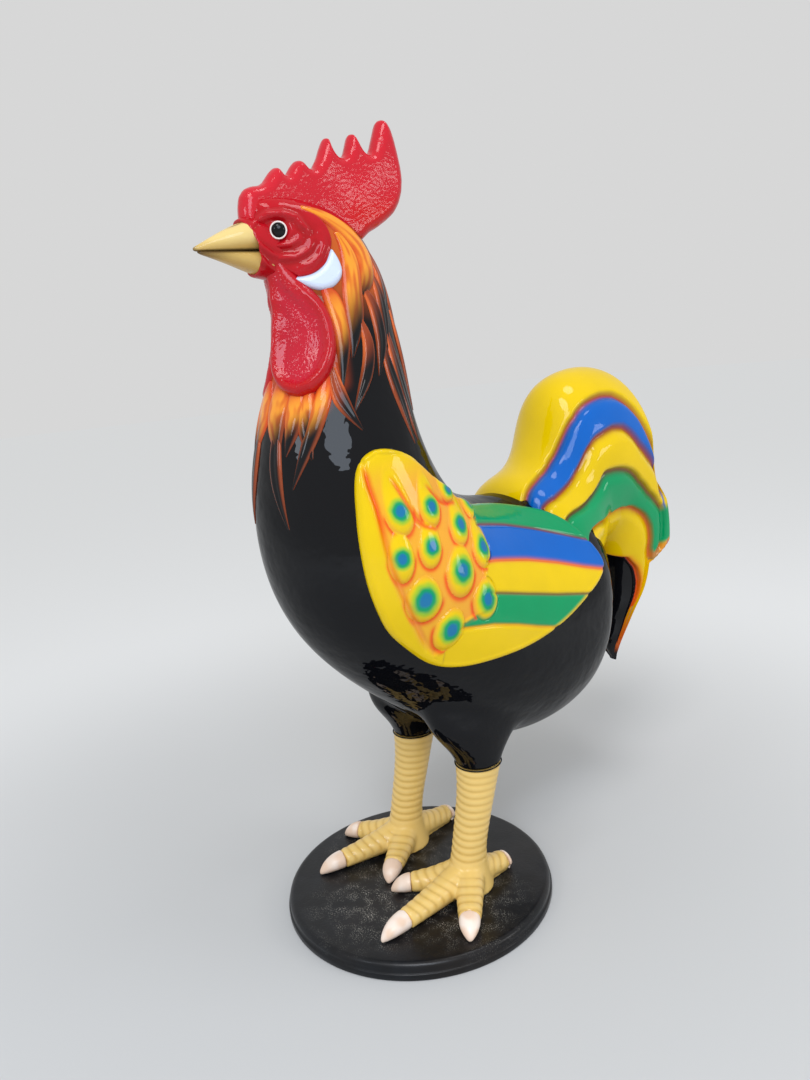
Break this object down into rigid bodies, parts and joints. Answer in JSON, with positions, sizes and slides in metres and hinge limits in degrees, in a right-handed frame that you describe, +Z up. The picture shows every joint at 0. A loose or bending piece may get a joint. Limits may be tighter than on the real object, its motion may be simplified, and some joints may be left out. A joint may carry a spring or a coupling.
{
  "type": "painted rooster statue",
  "caption": "Large glossy painted glass-fibre cockerel, black with a red comb, airbrushed neck locks, yellow spotted wings and an arched tail of coloured ribbons, standing on a round black disc.",
  "frame": {"origin": "centre of the round disc's underside, on the ground", "axes": "+Z up, +X to the bird's left, +Y to its tail, so that it faces -Y"},
  "size_m": [0.4399, 0.9427, 1.2067],
  "materials": {
    "black_lacquer": "gloss",
    "red_lacquer": "gloss",
    "yellow_lacquer": "gloss",
    "lock_lacquer": "gloss",
    "tail_lacquer": "gloss",
    "leg_lacquer": "gloss",
    "claw_lacquer": "gloss",
    "white_lacquer": "gloss",
    "base_paint": "satin",
    "steel": "brushed",
    "glass_fibre": "matte"
  },
  "bodies": {
    "root": {"base_disc": "base_paint", "beak_lower": "leg_lacquer", "beak_upper": "leg_lacquer", "body_shell_left": "black_lacquer", "body_shell_right": "black_lacquer", "claw_left_hind": "claw_lacquer", "claw_left_inner": "claw_lacquer", "claw_left_middle": "claw_lacquer", "claw_left_outer": "claw_lacquer", "claw_right_hind": "claw_lacquer", "claw_right_inner": "claw_lacquer", "claw_right_middle": "claw_lacquer", "claw_right_outer": "claw_lacquer", "comb": "red_lacquer", "ear_lobe_left": "white_lacquer", "ear_lobe_right": "white_lacquer", "eye_left": "black_lacquer", "eye_right": "black_lacquer", "eye_ring_left": "white_lacquer", "eye_ring_right": "white_lacquer", "face_left": "red_lacquer", "face_right": "red_lacquer", "leg_left": "leg_lacquer", "leg_right": "leg_lacquer", "leg_rod_left": "steel", "leg_rod_right": "steel", "lock_left_breast": "lock_lacquer", "lock_left_cheek": "lock_lacquer", "lock_left_crown": "lock_lacquer", "lock_left_curl": "lock_lacquer", "lock_left_ear": "lock_lacquer", "lock_left_nape": "lock_lacquer", "lock_left_nape_high": "lock_lacquer", "lock_left_shoulder": "lock_lacquer", "lock_left_side": "lock_lacquer", "lock_left_throat": "lock_lacquer", "lock_right_breast": "lock_lacquer", "lock_right_cheek": "lock_lacquer", "lock_right_crown": "lock_lacquer", "lock_right_curl": "lock_lacquer", "lock_right_ear": "lock_lacquer", "lock_right_nape": "lock_lacquer", "lock_right_nape_high": "lock_lacquer", "lock_right_shoulder": "lock_lacquer", "lock_right_side": "lock_lacquer", "lock_right_throat": "lock_lacquer", "rod_nuts": "steel", "rod_washers": "steel", "seam_strip_back": "glass_fibre", "seam_strip_belly": "glass_fibre", "spreader_bar": "steel", "tail_shell_left": "tail_lacquer", "tail_shell_right": "tail_lacquer", "thigh_left": "black_lacquer", "thigh_right": "black_lacquer", "wattle_left": "red_lacquer", "wattle_right": "red_lacquer", "wing_left": "yellow_lacquer", "wing_right": "yellow_lacquer"}
  },
  "joints": []
}
